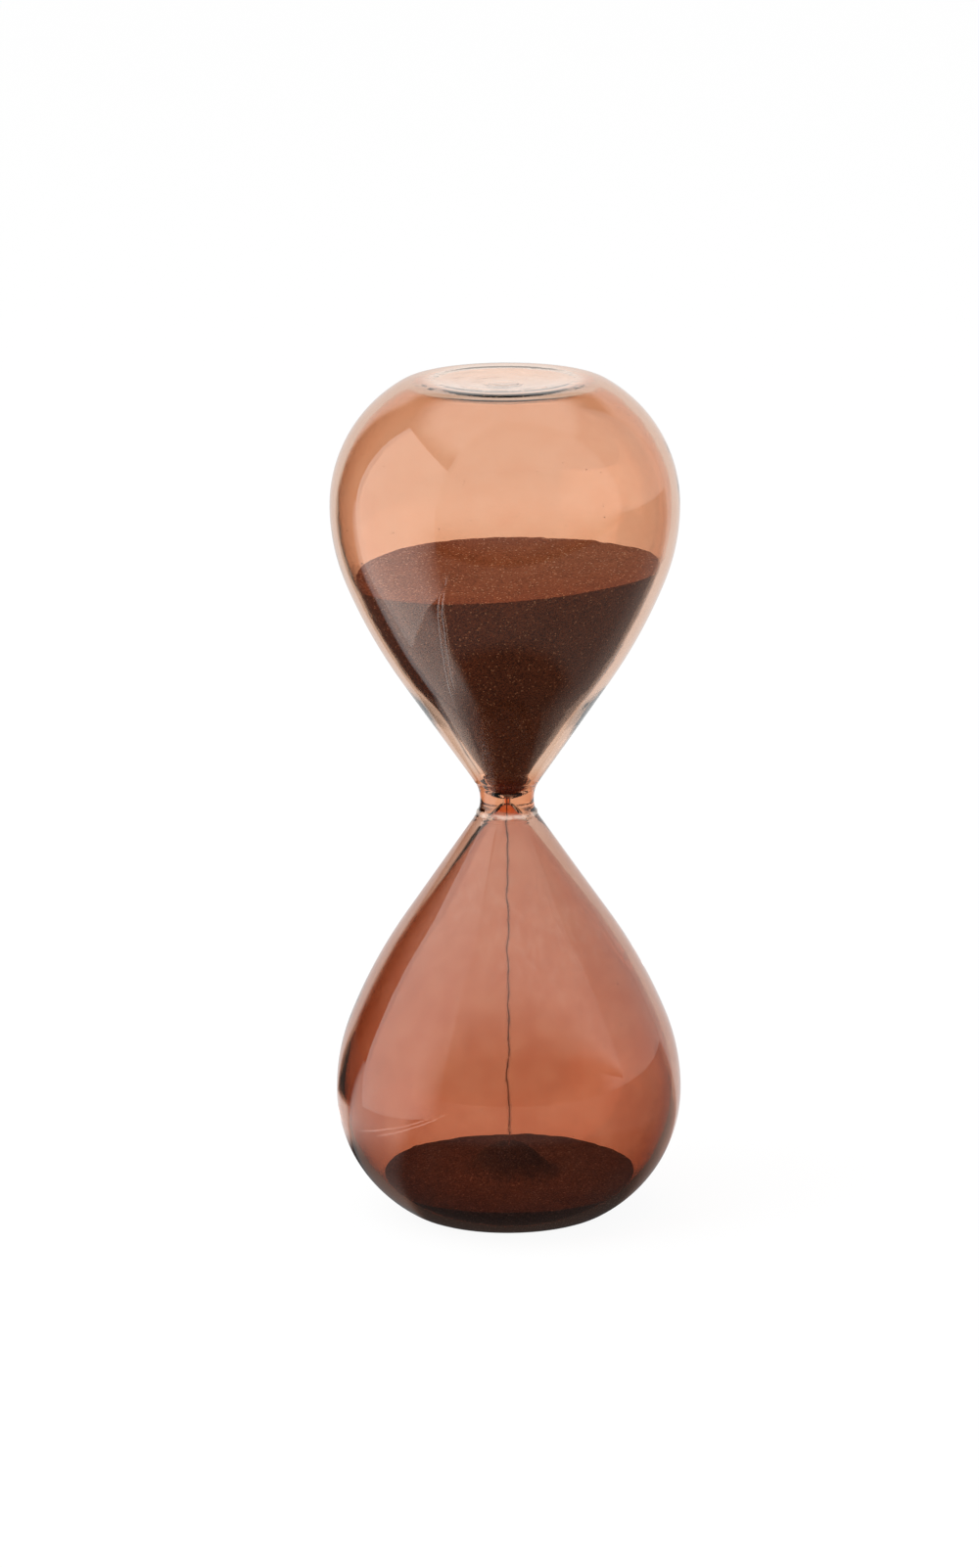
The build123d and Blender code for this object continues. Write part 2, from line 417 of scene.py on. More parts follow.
def ruffle(x, y, seed):
    """Small uneven waves, ripples and grain on loose sand."""
    place = Vector((x, y, seed * MM))
    return sum(noise.noise(place / size) * height for size, height in RUFFLES)


def upper_surface(x, y):
    """Height of the waiting sand above the waist."""
    twist = -UPPER_SAND_TWIST * x * y / (30 * MM) ** 2
    dip = -UPPER_SAND_DIP * math.exp(-(x * x + y * y) / UPPER_DIP_RADIUS**2)
    return UPPER_SAND_LEVEL + UPPER_SAND_SLOPE * x + twist + dip + ruffle(x, y, 0)


def lower_surface(x, y):
    """Height of the fallen sand, as a negative distance from the waist."""
    angle = math.atan2(y, x)
    radius = math.hypot(x, y) * (1 + 0.06 * math.sin(angle + 0.6) + 0.04 * math.sin(3 * angle))
    share = min(1, radius / MOUND_RADIUS)
    mound = MOUND_HEIGHT * (1 - share**2) ** 1.6
    crater = -CRATER_DEPTH * math.exp(-((radius / CRATER_RADIUS) ** 2))
    return -LOWER_SAND_LEVEL + mound + crater + ruffle(x, y, 40)


def sand_pile(name, surface, foot, rings_up, rings_across, material):
    """Sand that fills the cavity from foot, an outline of its underside from the axis out, to a surface."""
    foot_radius, foot_height = foot[-1]
    verts, rings = [], []
    under_rings = [[] for _ in foot[1:-1]]
    wall_rings = [[] for _ in range(rings_up)]
    top_rings = [[] for _ in range(rings_across)]
    for k in range(SEGMENTS):
        angle = 2 * math.pi * k / SEGMENTS
        cos, sin = math.cos(angle), math.sin(angle)
        contact = surface(0, 0)
        for _ in range(12):
            radius = wall_radius(abs(contact))
            contact = surface(radius * cos, radius * sin)
        for ring, (r, height) in zip(under_rings, foot[1:-1]):
            ring.append(Vector((r * cos, r * sin, WAIST_Z + height)))
        for i in range(rings_up):
            height = foot_height + (contact - foot_height) * i / rings_up
            r = wall_radius(abs(height)) if i else foot_radius
            wall_rings[i].append(Vector((r * cos, r * sin, WAIST_Z + height)))
        for i in range(rings_across):
            r = radius * (1 - i / rings_across)
            top_rings[i].append(Vector((r * cos, r * sin, WAIST_Z + surface(r * cos, r * sin))))
    for ring in under_rings + wall_rings + top_rings:
        rings.append(range(len(verts), len(verts) + len(ring)))
        verts += ring
    for height in (surface(0, 0), foot[0][1]):
        rings.append(range(len(verts), len(verts) + 1))
        verts.append(Vector((0, 0, WAIST_Z + height)))
    rings = [rings[-1]] + rings[:-1]
    faces, tags = ring_faces(rings, [0] * len(rings))
    return add_object(name, verts, faces, tags, [material])


def add_grain(verts, faces, centre, radius):
    """One grain: an octahedron with uneven corners."""
    start = len(verts)
    for axis in range(3):
        for side in (-1, 1):
            corner = random.normal(0, 0.18, 3)
            corner[axis] += side
            verts.append(centre + Vector(corner) * radius)
    for a in (0, 1):
        for b in (2, 3):
            for c in (4, 5):
                faces.append((start + a, start + b, start + c))


def grain_cloud(name, centres, material):
    """Loose grains as one piece."""
    verts, faces = [], []
    for centre in centres:
        add_grain(verts, faces, centre, GRAIN_RADIUS * random.uniform(0.6, 1.5))
    return add_object(name, verts, faces, [0] * len(faces), [material])


def on_surface(surface, reach, count):
    """Places for grains that lie on a sand surface, more of them towards the middle."""
    centres = []
    for _ in range(count):
        angle = random.uniform(0, 2 * math.pi)
        radius = reach * random.uniform(0, 1) ** 0.6
        x, y = radius * math.cos(angle), radius * math.sin(angle)
        centres.append(Vector((x, y, WAIST_Z + surface(x, y) + 0.3 * GRAIN_RADIUS)))
    return centres


def on_wall(low, high, count):
    """Places for grains that cling to the cavity wall between two heights above the waist."""
    centres = []
    for _ in range(count):
        height = random.uniform(low, high)
        angle = random.uniform(0, 2 * math.pi)
        radius = wall_radius(abs(height)) + SAND_GAP - GRAIN_RADIUS
        centres.append(Vector((radius * math.cos(angle), radius * math.sin(angle), WAIST_Z + height)))
    return centres


def stream_shift(z, drop):
    """How far the stream wavers off the axis, in x and y. It leaves the waist on the axis."""
    shifts = []
    for seed in (4, 9):
        slow = noise.noise(Vector((seed, 0, z / (13 * MM))))
        quick = noise.noise(Vector((0, seed, z / (4.5 * MM))))
        shifts.append((slow + 0.7 * quick) * STREAM_WAVER * min(1, 6 * drop))
    return shifts


def falling_sand(material):
    """Thin stream that wavers and thins out, with grains all round it."""
    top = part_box("sand_stream")[1].z
    bottom = WAIST_Z + lower_surface(0, 0) - 0.2 * MM
    steps, around = 150, 8
    verts, rings = [], []
    for i in range(steps + 1):
        z = top + (bottom - top) * i / steps
        drop = (top - z) / (top - bottom)
        pulse = noise.noise(Vector((0, 0, z / (2.1 * MM))))
        radius = STREAM_RADIUS * (1 - 0.35 * drop + 0.45 * pulse)
        shift_x, shift_y = stream_shift(z, drop)
        rings.append(range(len(verts), len(verts) + around))
        for k in range(around):
            angle = 2 * math.pi * k / around
            rough = 1 + random.uniform(-0.25, 0.25)
            x = shift_x + radius * rough * math.cos(angle)
            y = shift_y + radius * rough * math.sin(angle)
            verts.append(Vector((x, y, z)))
    for z, position in ((top, 0), (bottom, len(rings) + 1)):
        rings.insert(position, range(len(verts), len(verts) + 1))
        verts.append(Vector((0, 0, z)))
    faces, _ = ring_faces(rings, [0] * len(rings))
    for _ in range(STREAM_GRAINS):
        z = random.uniform(bottom, WAIST_Z - SPRAY_START)
        drop = (top - z) / (top - bottom)
        x, y = random.normal(0, SPRAY_WIDTH + SPRAY_GROWTH * drop, 2)
        shift_x, shift_y = stream_shift(z, drop)
        centre = Vector((x + shift_x, y + shift_y, z))
        add_grain(verts, faces, centre, GRAIN_RADIUS * random.uniform(0.45, 0.8))
    return add_object("falling_sand", verts, faces, [0] * len(faces), [material])


# ---------------------------------------------------------------- materials


class Nodes:
    """Adds nodes to a tree and joins sockets to their inputs."""

    def __init__(self, tree):
        self.tree = tree
        tree.nodes.clear()

    def add(self, kind, inputs, output=0, **settings):
        node = self.tree.nodes.new(kind)
        for name, value in settings.items():
            setattr(node, name, value)
        for key, value in inputs.items():
            if isinstance(value, bpy.types.NodeSocket):
                self.tree.links.new(value, node.inputs[key])
            else:
                node.inputs[key].default_value = value
        return node.outputs[output]

    def math(self, operation, first, *others):
        """An operation on one value, or on two or more from left to right."""
        if not others:
            return self.add("ShaderNodeMath", {0: first}, operation=operation)
        for other in others:
            first = self.add("ShaderNodeMath", {0: first, 1: other}, operation=operation)
        return first

    def fit(self, value, low, high, new_low=0.0, new_high=1.0):
        """Value from low to high becomes new_low to new_high, smoothly and no further."""
        return self.add(
            "ShaderNodeMapRange",
            {0: value, 1: low, 2: high, 3: new_low, 4: new_high},
            interpolation_type="SMOOTHSTEP",
        )

    def fit_turn(self, direction, low, high, new_low=0.0, new_high=1.0):
        """As fit, for a direction in radians and two limits in degrees."""
        return self.fit(direction, math.radians(low), math.radians(high), new_low, new_high)

    def axis(self, place, name):
        """One coordinate, X, Y or Z."""
        return self.add("ShaderNodeSeparateXYZ", {0: place}, output=name)

    def length(self, place):
        return self.add("ShaderNodeVectorMath", {0: place}, output="Value", operation="LENGTH")

    def radius(self, place):
        """Distance from the Z axis."""
        return self.length(self.stretched(place, (1, 1, 0)))

    def noise(self, place, size, detail=2.0, roughness=0.5, distortion=0.0):
        """Noise from 0 to 1 with features about size metres across."""
        return self.add(
            "ShaderNodeTexNoise",
            {
                "Vector": place,
                "Scale": 1 / size,
                "Detail": detail,
                "Roughness": roughness,
                "Distortion": distortion,
            },
        )

    def stretched(self, place, scale):
        """Coordinates scaled by an amount for each axis."""
        return self.add("ShaderNodeVectorMath", {0: place, 1: scale}, operation="MULTIPLY")

    def blend(self, factor, first, second):
        """Colour between two."""
        return self.add(
            "ShaderNodeMix", {0: factor, 6: first, 7: second}, output=2, data_type="RGBA"
        )

    def mix(self, factor, first, second):
        """Number between two."""
        return self.add("ShaderNodeMix", {0: factor, 2: first, 3: second}, data_type="FLOAT")

    def mix_shader(self, factor, first, second):
        return self.add("ShaderNodeMixShader", {0: factor, 1: first, 2: second})

    def path(self, name):
        return self.add("ShaderNodeLightPath", {}, output=name)

    def reflected(self):
        """1 for a ray that has been reflected on its way, and otherwise 0."""
        return self.math("GREATER_THAN", self.path("Glossy Depth"), 0.5)

    def finish(self, surface, kind="ShaderNodeOutputMaterial"):
        self.tree.links.new(surface, self.tree.nodes.new(kind).inputs["Surface"])


def new_material(name):
    material = bpy.data.materials.new(name)
    material.use_nodes = True
    return material, Nodes(material.node_tree)


# Tints, and how many times deeper than one plain wall the glass is in places
UPPER_TINT = (0.885, 0.615, 0.465, 1)  # what one wall of the upper bulb lets through
LOWER_TINT = (0.700, 0.370, 0.250, 1)
NECK_DEPTH = 1.45  # extra in the thick glass at the waist, fading out between two heights above it
NECK_LOW, NECK_HIGH = 3.5 * MM, 8.5 * MM
EDGE_DEPTH = 1.15  # extra where the wall is seen at a slant
EDGE_DARKENING = 0.79  # grey that darkens the lower bulb there, as its wall turns away
DARKENING_FACING = (0.15, 0.65)
UPPER_CLOUDS, LOWER_CLOUDS = 0.06, 0.095  # unevenness
END_DEPTH = 0.2  # depth in the ends, where the glass is paler
END_EDGE, END_FADE = RING_INNER_RADIUS, 4 * MM
THINNING = 0.12  # less towards the top of the lower bulb
THINNING_LOW, THINNING_HIGH = -65 * MM, -12 * MM

# Dry film on the outside, as the share of the glass that it covers
HAZE = (0.94, 0.77, 0.66, 1)
FILM_LOW, FILM_HIGH = 0.003, 0.045  # low on the lower bulb and high on it
FILM_BOTTOM, FILM_TOP = -78 * MM, -8 * MM
FILM_START = (-66, -46)  # degrees from the front; the film fades out to the left of it
WELD_FILM = 0.42
WELD_INNER, WELD_OUTER = 0.1 * MM, 0.85 * MM  # distances from the seam
END_FILM, END_FILM_FADE = 0.12, 6 * MM

SAND_DARK = (0.15, 0.068, 0.042, 1)
SAND_LIGHT = (0.52, 0.27, 0.17, 1)
# Painted glint: colour of the few bright grains
SAND_PAINTED_GLINT = (0.95, 0.80, 0.65, 1)
# The fallen sand is the same sand as the waiting sand, in darker colours that are painted shade
FALLEN_DARK = (0.070, 0.042, 0.030, 1)
FALLEN_LIGHT = (0.240, 0.165, 0.125, 1)
# Painted glint: colour of the few bright grains of the fallen sand
FALLEN_PAINTED_GLINT = (0.34, 0.25, 0.20, 1)
# Brightness left in the middle of the mound of fallen sand, as painted shade
FALLEN_MOUND_SHADE = 0.4
SAND_CELL = 0.34 * MM


def film_share(n, place, height, radius, bulb):
    """How much of the glass a dry film covers: wiped streaks, the rough seam and the top end."""
    wiped = n.noise(n.stretched(place, (1, 1, 0.05)), 1.7 * MM, detail=3, distortion=0.4)
    patches = n.noise(place, 22 * MM, detail=3)
    streaks = n.math("MULTIPLY", n.fit(wiped, 0.4, 0.72), n.fit(patches, 0.35, 0.65))
    uneven = n.math("ADD", n.math("MULTIPLY", streaks, 0.8), 0.65)
    base = n.fit(height, FILM_BOTTOM, FILM_TOP, FILM_LOW, FILM_HIGH)
    lower = n.math("SUBTRACT", 1.0, bulb)
    film = n.math("MULTIPLY", base, lower, uneven, n.fit_turn(compass(n, place), *FILM_START))
    off_seam = n.math("ABSOLUTE", n.math("SUBTRACT", height, SEAM_HEIGHT))
    rough_weld = n.fit(n.noise(place, 2.2 * MM, detail=4), 0.35, 0.6, 0.4, 1.0)
    weld = n.math("MULTIPLY", n.fit(off_seam, WELD_INNER, WELD_OUTER, WELD_FILM, 0.0), rough_weld)
    top = n.fit(radius, RING_INNER_RADIUS, RING_INNER_RADIUS + END_FILM_FADE, END_FILM, 0.0)
    top = n.math("MULTIPLY", top, n.math("GREATER_THAN", height, END_ZONE))
    return n.math("MAXIMUM", film, weld, top)


def tint_depth(n, place, height, radius, bulb, facing):
    """How much deeper than one plain wall the tint is."""
    neck = n.math("MULTIPLY", n.fit(height, NECK_LOW, NECK_HIGH, NECK_DEPTH, 0.0), bulb)
    thinner = n.fit(height, THINNING_LOW, THINNING_HIGH, 0.0, THINNING)
    thinner = n.math("MULTIPLY", thinner, n.math("SUBTRACT", 1.0, bulb))
    depth = n.math("SUBTRACT", n.math("ADD", neck, 1.0), thinner)
    edge = n.math("MULTIPLY", n.math("POWER", facing, 2.0), EDGE_DEPTH)
    depth = n.math("MULTIPLY", depth, n.math("ADD", edge, 1.0))
    cloud = n.fit(n.noise(place, 8 * MM, detail=6, roughness=0.62), 0.3, 0.7, -1.0, 1.0)
    strength = n.mix(bulb, LOWER_CLOUDS, UPPER_CLOUDS)
    mottle = n.math("ADD", 1.0, n.math("MULTIPLY", cloud, strength))
    end = n.fit(radius, END_EDGE, END_EDGE + END_FADE, END_DEPTH, 1.0)
    at_end = n.math("GREATER_THAN", n.math("ABSOLUTE", height), END_ZONE)
    return n.math("MULTIPLY", depth, n.math("MULTIPLY", mottle, n.mix(at_end, 1.0, end)))


def glass_material(name, hazy):
    """Tinted glass. The tint deepens below the seam, round the waist and where the wall turns away."""
    material, n = new_material(name)
    place = n.add("ShaderNodeTexCoord", {}, output="Object")
    height = n.math("SUBTRACT", n.axis(place, "Z"), WAIST_Z)
    radius = n.radius(place)
    bulb = n.fit(height, SEAM_HEIGHT - SEAM_FADE, SEAM_HEIGHT + SEAM_FADE)
    facing = n.add("ShaderNodeLayerWeight", {"Blend": 0.5}, output="Facing")
    depth = tint_depth(n, place, height, radius, bulb, facing)
    tint = n.add("ShaderNodeGamma", {"Color": n.blend(bulb, LOWER_TINT, UPPER_TINT), "Gamma": depth})
    # The lower bulb is darker grey where its wall turns away
    edge_darkening = n.mix(bulb, n.fit(facing, *DARKENING_FACING, 1.0, EDGE_DARKENING), 1.0)
    tint = n.add("ShaderNodeVectorMath", {0: tint, 1: grey(n, edge_darkening)}, operation="MULTIPLY")
    wobble = n.noise(place, 9 * MM, detail=2)
    bump = n.add("ShaderNodeBump", {"Strength": 0.04, "Distance": 1 * MM, "Height": wobble})
    glass = n.add(
        "ShaderNodeBsdfPrincipled",
        {
            "Base Color": tint,
            "Roughness": 0.0,
            "IOR": 1.5,
            "Transmission Weight": 1.0,
            "Normal": bump,
        },
    )
    if hazy:
        haze = n.add(
            "ShaderNodeBsdfPrincipled", {"Base Color": HAZE, "Roughness": 0.8, "Specular IOR Level": 0.0}
        )
        glass = n.mix_shader(film_share(n, place, height, radius, bulb), glass, haze)
    once = n.add("ShaderNodeGamma", {"Color": tint, "Gamma": 0.5})
    lamp_way = n.add("ShaderNodeBsdfTransparent", {"Color": once})
    n.finish(n.mix_shader(n.path("Is Shadow Ray"), glass, lamp_way))
    return material


def grey(n, value):
    return n.add("ShaderNodeCombineColor", {0: value, 1: value, 2: value})


def fused_material():
    """Where two pieces of glass are melted together there is no surface to see."""
    material, n = new_material("fused_glass")
    n.finish(n.add("ShaderNodeBsdfTransparent", {"Color": (1, 1, 1, 1)}))
    return material


def sand_material(name, dark, light, painted_glint, mound_shade):
    """Fine sand: every grain has its own shade, a few get a painted glint colour and are glossier, and a
    mound may get painted shade.
    """
    material, n = new_material(name)
    place = n.add("ShaderNodeTexCoord", {}, output="Object")
    # Painted shade: the mound is darkened towards its middle, out to a ragged edge
    ragged = n.math("MULTIPLY", n.noise(place, 5 * MM, detail=4), 5 * MM)
    reach = n.math("ADD", n.radius(place), ragged)
    mound_painted_shade = n.fit(reach, 0.75 * MOUND_RADIUS, 1.2 * MOUND_RADIUS, mound_shade, 1.0)
    cells = n.tree.nodes.new("ShaderNodeTexVoronoi")
    cells.inputs["Scale"].default_value = 1 / SAND_CELL
    n.tree.links.new(place, cells.inputs["Vector"])
    shade = n.add("ShaderNodeSeparateColor", {0: cells.outputs["Color"]})
    glint = n.add("ShaderNodeSeparateColor", {0: cells.outputs["Color"]}, output=1)
    patch = n.fit(n.noise(place, 7 * MM, detail=5), 0.35, 0.65)
    mix = n.math("ADD", n.math("MULTIPLY", shade, 0.82), n.math("MULTIPLY", patch, 0.12))
    # Painted glint: a few grains get a pale highlight colour, and below they are made glossier as well
    bright = n.fit(glint, 0.965, 0.98)
    colour = n.blend(bright, n.blend(mix, dark, light), painted_glint)
    colour = n.add("ShaderNodeVectorMath", {0: colour, 1: grey(n, mound_painted_shade)}, operation="MULTIPLY")
    bump = n.add(
        "ShaderNodeBump",
        {"Strength": 0.7, "Distance": 0.2 * MM, "Height": cells.outputs["Distance"]},
        invert=True,
    )
    rough = n.math("SUBTRACT", 0.9, n.math("MULTIPLY", bright, 0.5))
    n.finish(
        n.add(
            "ShaderNodeBsdfPrincipled",
            {"Base Color": colour, "Roughness": rough, "Specular IOR Level": 0.3, "Normal": bump},
        )
    )
    return material


# ---------------------------------------------------------------- studio


FLOOR_SIZE = 14.0
FLOOR_WHITE = 0.9
FLOOR_GLOW = 0.99
FLOOR_SHADOW = 0.06  # share of the floor's brightness that the object can shade
AMBIENT = 1.15
BACKDROP_RIGHT, BACKDROP_LEFT = math.radians(131), math.radians(-145)
BACKDROP_TOP = math.radians(35)
BACKDROP_RIGHT_GLOW, BACKDROP_LEFT_GLOW = 0.82, 0.8
PANEL_DISTANCE = 0.155  # from the axis to the bright panel on the left
PANEL_FRONT, PANEL_BACK, PANEL_TOP = -0.17, 0.033, 0.34
PANEL_GLOW = 1.75
PANEL_FULL = -0.09  # behind this the left panel has its full glow, and in front it fades
FADE_HEIGHTS, FADE_SHARES = (0.08, 0.2), (0.1, 0.8)  # how much is left at its front edge, low and high
FRONT_DISTANCE = PANEL_DISTANCE + 0.015  # to the panel in front
FRONT_LEFT, FRONT_RIGHT, FRONT_TOP = -0.155, 1.2, 3.0
FRONT_LOW, FRONT_HIGH = 0.10, 0.23  # the front panel fades in between these heights
FRONT_GLOW = 1.2
RIGHT_START = math.radians(60)  # a dimmer light on the right, from here to the backdrop
RIGHT_GLOW = 0.8
CEILING_START = math.radians(52)
CEILING_GLOW = 1.4
WORLD_SOFTNESS, FLOOR_SOFTNESS = math.radians(4), math.radians(3)  # of the edges of these lights

# Painted light and shade on the floor, as reflections see it. Turns are degrees from the front, negative to
# the left, and reaches are distances from the axis. Each pair says where a change begins and where it ends.
# Towards the axis each painted light fades: painted shade of the object on the floor
BACK_REACH, BACK_SHARES = (0.038, 0.072), (0.15, 1.0)
LEFT_TURN_FROM, LEFT_TURN_TO = (-119, -113), (-68, -54)
LEFT_REACH, LEFT_GLOWS = (0.048, 0.105), (0.2, 1.1)
GAP_TURN, GAP_GLOW = (-122, -112), 0.9  # between the left and the back
GAP_REACH_FROM, GAP_REACH_TO = (0.055, 0.078), (0.115, 0.135)
RIGHT_FLOOR_GLOW = 0.3
FRONT_TURN, FRONT_FLOOR_GLOW = (-75, -55), 0.2
FRONT_REACH, FRONT_SHARES = (0.085, 0.115), (0.15, 1.0)
# Painted reflection of two bright strips on the floor
STRIP_NORMAL = (0.894, -0.447, 0)  # level direction across two bright strips
STRIP_OFFSET = 0.0745  # of their middle, left of the axis
STRIP_GAP = 0.011
STRIP_EDGE = (0.0008, 0.003)
STRIP_REACH_FROM, STRIP_REACH_TO = (0.075, 0.095), (0.26, 0.32)
STRIP_GLOW = 2.3
LEAST_FLOOR_GLOW = 0.05

# Camera
LENS, SENSOR_WIDTH = 162.1, 36  # mm
VIEW_FROM = (0, -1.65, 0.5025)
VIEW_DOWN, VIEW_LEFT, VIEW_ROLL = 13.51, 0.144, -0.41  # degrees


def compass(n, place):
    """Direction seen from the axis: 0 is the camera's side, negative is left of it."""
    return n.math("ARCTAN2", n.axis(place, "X"), n.math("MULTIPLY", n.axis(place, "Y"), -1.0))


def backdrop_light(n, side, soft):
    """Brightness behind the object. It is dark at its sides and in front."""
    right = n.fit(side, BACKDROP_RIGHT - soft, BACKDROP_RIGHT + soft, 0.0, BACKDROP_RIGHT_GLOW)
    left = n.fit(side, BACKDROP_LEFT - soft, BACKDROP_LEFT + soft, BACKDROP_LEFT_GLOW, 0.0)
    return n.math("MAXIMUM", right, left)


def studio_world():
    """White all round, except that reflections meet a dark studio with a bright backdrop."""
    world = bpy.data.worlds.new("studio")
    bpy.context.scene.world = world
    world.use_nodes = True
    n = Nodes(world.node_tree)
    ray = n.add("ShaderNodeTexCoord", {}, output="Generated")
    rise = n.math("ARCSINE", n.axis(ray, "Z"))
    side = compass(n, ray)
    soft = WORLD_SOFTNESS
    below_top = n.fit(rise, BACKDROP_TOP - soft, BACKDROP_TOP + soft, 1.0, 0.0)
    backdrop = n.math("MULTIPLY", backdrop_light(n, side, soft), below_top)
    right = n.fit(side, RIGHT_START, RIGHT_START + 5 * soft, 0.0, RIGHT_GLOW)
    right = n.math("MULTIPLY", right, n.fit(side, BACKDROP_RIGHT, BACKDROP_RIGHT + soft, 1.0, 0.0))
    ceiling = n.fit(rise, CEILING_START - 2 * soft, CEILING_START + 2 * soft, 0.0, CEILING_GLOW)
    mirrored = n.math("MAXIMUM", backdrop, right, ceiling)
    sharp = n.math("MAXIMUM", n.path("Is Glossy Ray"), n.path("Is Transmission Ray"))
    straight = n.math("MAXIMUM", n.path("Is Camera Ray"), sharp)
    glow = n.mix(straight, AMBIENT, n.mix(n.reflected(), 1.0, mirrored))
    background = n.add("ShaderNodeBackground", {"Color": (1, 1, 1, 1), "Strength": glow})
    n.finish(background, "ShaderNodeOutputWorld")


def stage_plane(name, corners, material):
    """A flat part of the studio."""
    mesh = bpy.data.meshes.new(name)
    mesh.from_pydata(corners, [], [(0, 1, 2, 3)])
    mesh.materials.append(material)
    plane = bpy.data.objects.new(name, mesh)
    bpy.context.scene.collection.objects.link(plane)
    return plane


def painted_floor_light(n, place):
    """How bright the floor is in reflections, all painted: painted light from the left and the back, two
    painted bright strips, and painted shade close to the axis.
    """
    side = compass(n, place)
    distance = n.length(place)
    backdrop = backdrop_light(n, side, FLOOR_SOFTNESS)
    behind = n.math("MULTIPLY", backdrop, n.fit(distance, *BACK_REACH, *BACK_SHARES))
    left = n.math(
        "MULTIPLY",
        n.fit_turn(side, *LEFT_TURN_FROM),
        n.fit_turn(side, *LEFT_TURN_TO, 1.0, 0.0),
        n.fit(distance, *LEFT_REACH, *LEFT_GLOWS),
    )
    gap = n.math(
        "MULTIPLY",
        n.fit_turn(side, *GAP_TURN, GAP_GLOW, 0.0),
        n.fit(distance, *GAP_REACH_FROM),
        n.fit(distance, *GAP_REACH_TO, 1.0, 0.0),
    )
    right = n.fit(side, RIGHT_START, BACKDROP_RIGHT, 0.0, RIGHT_FLOOR_GLOW)
    front = n.math(
        "MULTIPLY",
        n.fit_turn(side, *FRONT_TURN),
        FRONT_FLOOR_GLOW,
        n.fit(distance, *FRONT_REACH, *FRONT_SHARES),
    )
    across = n.add(
        "ShaderNodeVectorMath", {0: place, 1: STRIP_NORMAL}, output="Value", operation="DOT_PRODUCT"
    )
    off_middle = n.math("ABSOLUTE", n.math("ADD", across, STRIP_OFFSET))
    off_strip = n.math("ABSOLUTE", n.math("SUBTRACT", off_middle, STRIP_GAP / 2))
    strips = n.math(
        "MULTIPLY",
        n.fit(off_strip, *STRIP_EDGE, STRIP_GLOW, 0.0),
        n.fit(distance, *STRIP_REACH_FROM),
        n.fit(distance, *STRIP_REACH_TO, 1.0, 0.0),
    )
    return n.math("MAXIMUM", behind, left, gap, right, front, strips, LEAST_FLOOR_GLOW)


def floor():
    """Pale floor, lit so evenly that the object hardly shades it."""
    material, n = new_material("floor_paper")
    place = n.add("ShaderNodeTexCoord", {}, output="Object")
    fleck = n.fit(n.noise(place, 0.05, detail=3), 0.3, 0.7, FLOOR_WHITE - 0.006, FLOOR_WHITE + 0.006)
    colour = n.add("ShaderNodeCombineColor", {0: fleck, 1: fleck, 2: fleck})
    paper = n.add("ShaderNodeBsdfDiffuse", {"Color": colour})
    lit = n.add("ShaderNodeEmission", {"Strength": FLOOR_GLOW})
    direct = n.mix_shader(FLOOR_SHADOW, lit, paper)
    # Reflections see painted light and shade on the floor, not its lit paper
    mirrored = n.add("ShaderNodeEmission", {"Strength": painted_floor_light(n, place)})
    n.finish(n.mix_shader(n.reflected(), direct, mirrored))
    material.cycles.emission_sampling = "NONE"
    half = FLOOR_SIZE / 2
    depth = -0.05 * MM
    corners = [(-half, -half, depth), (half, -half, depth), (half, half, depth), (-half, half, depth)]
    stage_plane("floor", corners, material)


def panel(name, corners, dark_below, bright_above, brightness, fades_forwards=False):
    """Bright panel close by, which only shows in reflections and fades in between two heights."""
    material, n = new_material(name)
    place = n.add("ShaderNodeTexCoord", {}, output="Object")
    height = n.axis(place, "Z")
    strength = n.fit(height, dark_below, bright_above, 0.0, brightness)
    if fades_forwards:
        share = n.fit(height, *FADE_HEIGHTS, *FADE_SHARES)
        limits = {0: n.axis(place, "Y"), 1: PANEL_FRONT, 2: PANEL_FULL, 3: share, 4: 1.0}
        strength = n.math("MULTIPLY", strength, n.add("ShaderNodeMapRange", limits))
    glow = n.add("ShaderNodeEmission", {"Strength": strength})
    gone = n.add("ShaderNodeBsdfTransparent", {})
    n.finish(n.mix_shader(n.reflected(), gone, glow))
    material.cycles.emission_sampling = "NONE"
    plane = stage_plane(name, corners, material)
    plane.visible_camera = False
    plane.visible_shadow = False
    plane.visible_diffuse = False


def panels():
    """Left panel, bright from the floor up, and front panel."""
    x = -PANEL_DISTANCE
    left = [(x, PANEL_FRONT, 0), (x, PANEL_BACK, 0)]
    left += [(x, PANEL_BACK, PANEL_TOP), (x, PANEL_FRONT, PANEL_TOP)]
    panel("left_panel", left, -0.02, -0.01, PANEL_GLOW, fades_forwards=True)
    y = -FRONT_DISTANCE
    front = [(FRONT_LEFT, y, FRONT_LOW), (FRONT_RIGHT, y, FRONT_LOW)]
    front += [(FRONT_RIGHT, y, FRONT_TOP), (FRONT_LEFT, y, FRONT_TOP)]
    panel("front_panel", front, FRONT_LOW, FRONT_HIGH, FRONT_GLOW)


def soft_lamp(name, place, width, height, energy):
    """Large soft lamp that lights the sand. It has no reflection of its own in the glass."""
    light = bpy.data.lights.new(name, "AREA")
    light.shape = "RECTANGLE"
    light.size = width
    light.size_y = height
    light.energy = energy
    lamp = bpy.data.objects.new(name, light)
    bpy.context.scene.collection.objects.link(lamp)
    lamp.location = place
    aim = Vector((0, 0, WAIST_Z)) - lamp.location
    lamp.rotation_euler = aim.to_track_quat("-Z", "Y").to_euler()
    lamp.visible_glossy = False
    lamp.visible_transmission = False
    lamp.visible_camera = False


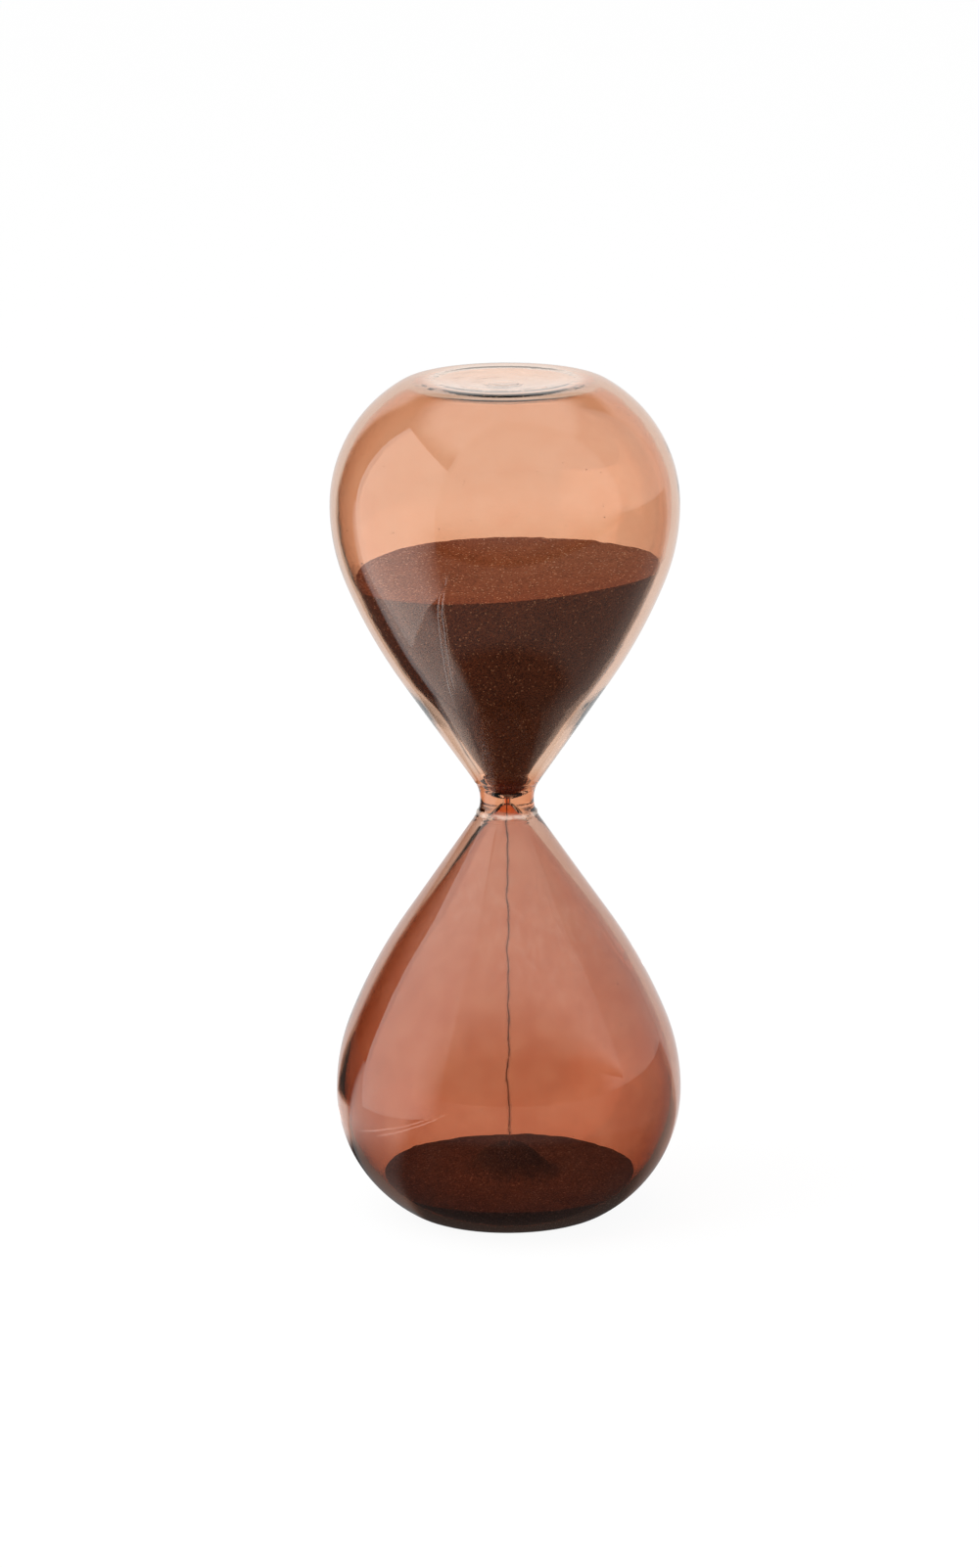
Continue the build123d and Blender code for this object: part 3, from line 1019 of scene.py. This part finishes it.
def camera():
    """Slightly above the object, far off, with a long lens."""
    data = bpy.data.cameras.new("camera")
    data.lens = LENS
    data.sensor_width = SENSOR_WIDTH
    data.clip_end = 20
    view = bpy.data.objects.new("camera", data)
    bpy.context.scene.collection.objects.link(view)
    pitch, yaw, roll = math.radians(90 - VIEW_DOWN), math.radians(VIEW_LEFT), math.radians(VIEW_ROLL)
    turn = Matrix.Rotation(yaw, 4, "Z") @ Matrix.Rotation(pitch, 4, "X") @ Matrix.Rotation(roll, 4, "Z")
    view.matrix_world = Matrix.Translation(VIEW_FROM) @ turn
    bpy.context.scene.camera = view


# ---------------------------------------------------------------- assembly


fused = fused_material()
outer_glass = glass_material("bulb_glass_outside", True)
inner_glass = glass_material("bulb_glass_inside", False)
neck_glass = glass_material("waist_glass_outside", True)
bore_glass = glass_material("waist_glass_inside", False)
bead_glass = glass_material("seal_glass_outside", True)
brown_sand = sand_material("brown_sand", SAND_DARK, SAND_LIGHT, SAND_PAINTED_GLINT, 1.0)
# Same sand as brown_sand, made darker as painted shade
fallen_sand_painted_shade = sand_material(
    "fallen_sand_painted_shade", FALLEN_DARK, FALLEN_LIGHT, FALLEN_PAINTED_GLINT, FALLEN_MOUND_SHADE
)

bulb_slots = [outer_glass, inner_glass, fused]
upper_glass = bulb_glass("upper_bulb_glass", False, SEAL_RADIUS, bulb_slots)
lower_glass = bulb_glass("lower_bulb_glass", True, 0, bulb_slots)
waist = waist_glass([neck_glass, bore_glass, fused])
seal = seal_glass([bead_glass, inner_glass, fused])

foot_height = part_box("upper_sand")[0].z - WAIST_Z
sand_foot = [(0, foot_height), (SAND_FOOT_RADIUS, foot_height)]
waiting = sand_pile(
    "waiting_sand", upper_surface, sand_foot, rings_up=90, rings_across=70, material=brown_sand
)
sand_bed = [(r, END_THICKNESS + SAND_GAP - h) for r, h in hollow_outline(0)[::-6]]
sand_bed += [(cavity_wall[-1][0], SAND_GAP - END_INSIDE)]
fallen = sand_pile(
    "fallen_sand", lower_surface, sand_bed, rings_up=12, rings_across=90, material=fallen_sand_painted_shade
)
stream = falling_sand(brown_sand)
upper_grains = grain_cloud(
    "upper_loose_grains",
    on_surface(upper_surface, reach=35 * MM, count=420) + on_wall(low=57 * MM, high=80 * MM, count=90),
    brown_sand,
)
lower_grains = grain_cloud(
    "lower_loose_grains",
    on_surface(lower_surface, reach=28 * MM, count=300) + on_wall(low=-88 * MM, high=-40 * MM, count=70),
    fallen_sand_painted_shade,
)

for piece, slot in (
    (upper_glass, "bulb_glass"),
    (lower_glass, "bulb_glass"),
    (waist, "waist_glass"),
    (seal, "seal_glass"),
    (waiting, "sand"),
    (fallen, "sand"),
    (stream, "sand"),
    (upper_grains, "sand"),
    (lower_grains, "sand"),
):
    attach(piece, "root")
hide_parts("upper_bulb")
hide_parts("lower_bulb")
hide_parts("waist_joint")
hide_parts("filling_seal")
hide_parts("upper_sand")
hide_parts("lower_sand")
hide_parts("sand_stream")

studio_world()
floor()
panels()
soft_lamp("left_softbox", place=(-0.7, -0.3, 1.1), width=0.9, height=1.2, energy=16)
soft_lamp("front_fill", place=(0.35, -1.4, 0.25), width=0.8, height=0.8, energy=5.5)
camera()

scene = bpy.context.scene
scene.view_settings.view_transform = "Standard"
scene.cycles.max_bounces = 24
scene.cycles.transmission_bounces = 24
scene.cycles.glossy_bounces = 12
scene.cycles.transparent_max_bounces = 24
scene.cycles.caustics_refractive = False
scene.cycles.caustics_reflective = False
